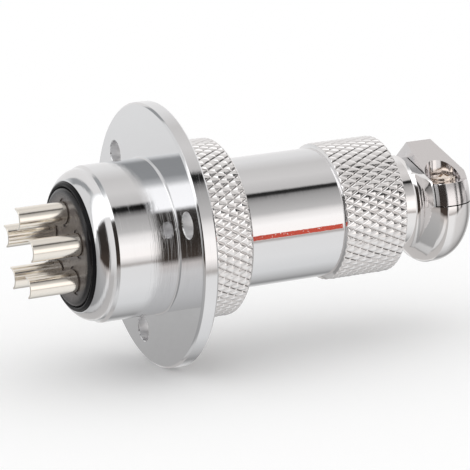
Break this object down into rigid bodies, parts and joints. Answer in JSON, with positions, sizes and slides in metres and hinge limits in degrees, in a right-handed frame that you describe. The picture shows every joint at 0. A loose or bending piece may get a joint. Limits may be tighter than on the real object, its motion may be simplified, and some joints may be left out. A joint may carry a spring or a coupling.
{
  "type": "circular multipole plug and socket connector",
  "caption": "Round metal circular connector, mated: flanged panel receptacle with solder cups, knurled coupling nut, straight plug and screwed cable clamp.",
  "frame": {"origin": "centre of the flange's solder-side face, which seats on the panel", "axes": "+X along the connector's axis from the solder cups to the cable clamp, +Z along the clamp screws, -Y the side with the alignment line"},
  "size_m": [0.0613, 0.034, 0.034],
  "materials": {
    "bright_plate": "bright plated, mirror smooth; the knurls are plated the same",
    "insulator": "dark moulded resin, satin",
    "black_ring": "smooth black, a soft sheen",
    "contact_silver": "silver plated brass, slightly warm",
    "spring_steel": "plain spring steel",
    "screw_nickel": "nickel plated, warm tone"
  },
  "bodies": {
    "receptacle": {"receptacle_shell": "bright_plate", "receptacle_insulator": "insulator", "retaining_ring": "black_ring", "pin_contact_1": "contact_silver", "pin_contact_2": "contact_silver", "pin_contact_3": "contact_silver", "pin_contact_4": "contact_silver", "pin_contact_5": "contact_silver"},
    "plug": {"plug_shell": "bright_plate", "plug_insulator": "insulator", "insulator_snap_ring": "spring_steel", "socket_contact_1": "contact_silver", "socket_contact_2": "contact_silver", "socket_contact_3": "contact_silver", "socket_contact_4": "contact_silver", "socket_contact_5": "contact_silver", "backshell": "bright_plate"},
    "coupling_nut": {"coupling_nut": "bright_plate"},
    "clamp_saddle": {"clamp_saddle": "bright_plate"},
    "clamp_screw_1": {"clamp_screw_1": "screw_nickel"},
    "clamp_screw_2": {"clamp_screw_2": "screw_nickel"}
  },
  "joints": [
    {"name": "plug_pull", "type": "slide", "parent": "receptacle", "child": "plug", "axis": [1, 0, 0], "range_m": [0, 0.017]},
    {"name": "nut_turn", "type": "hinge", "parent": "plug", "child": "coupling_nut", "pos_m": [0, 0, 0], "axis": [1, 0, 0], "range_deg": [0, 6120]},
    {"name": "saddle_lift", "type": "slide", "parent": "plug", "child": "clamp_saddle", "axis": [0, 0, 1], "range_m": [0, 0.0016]},
    {"name": "clamp_screw_1_turn", "type": "hinge", "parent": "clamp_saddle", "child": "clamp_screw_1", "pos_m": [0.03985, -0.0054, 0], "axis": [0, 0, 1], "range_deg": [0, 1440]},
    {"name": "clamp_screw_2_turn", "type": "hinge", "parent": "clamp_saddle", "child": "clamp_screw_2", "pos_m": [0.03985, 0.0054, 0], "axis": [0, 0, 1], "range_deg": [0, 1440]}
  ],
  "couplings": [
    {"joint": "nut_turn", "follows": "plug_pull", "rad_per_m": 6283.2},
    {"joint": "clamp_screw_1_turn", "follows": "saddle_lift", "rad_per_m": 15708},
    {"joint": "clamp_screw_2_turn", "follows": "saddle_lift", "rad_per_m": 15708}
  ]
}
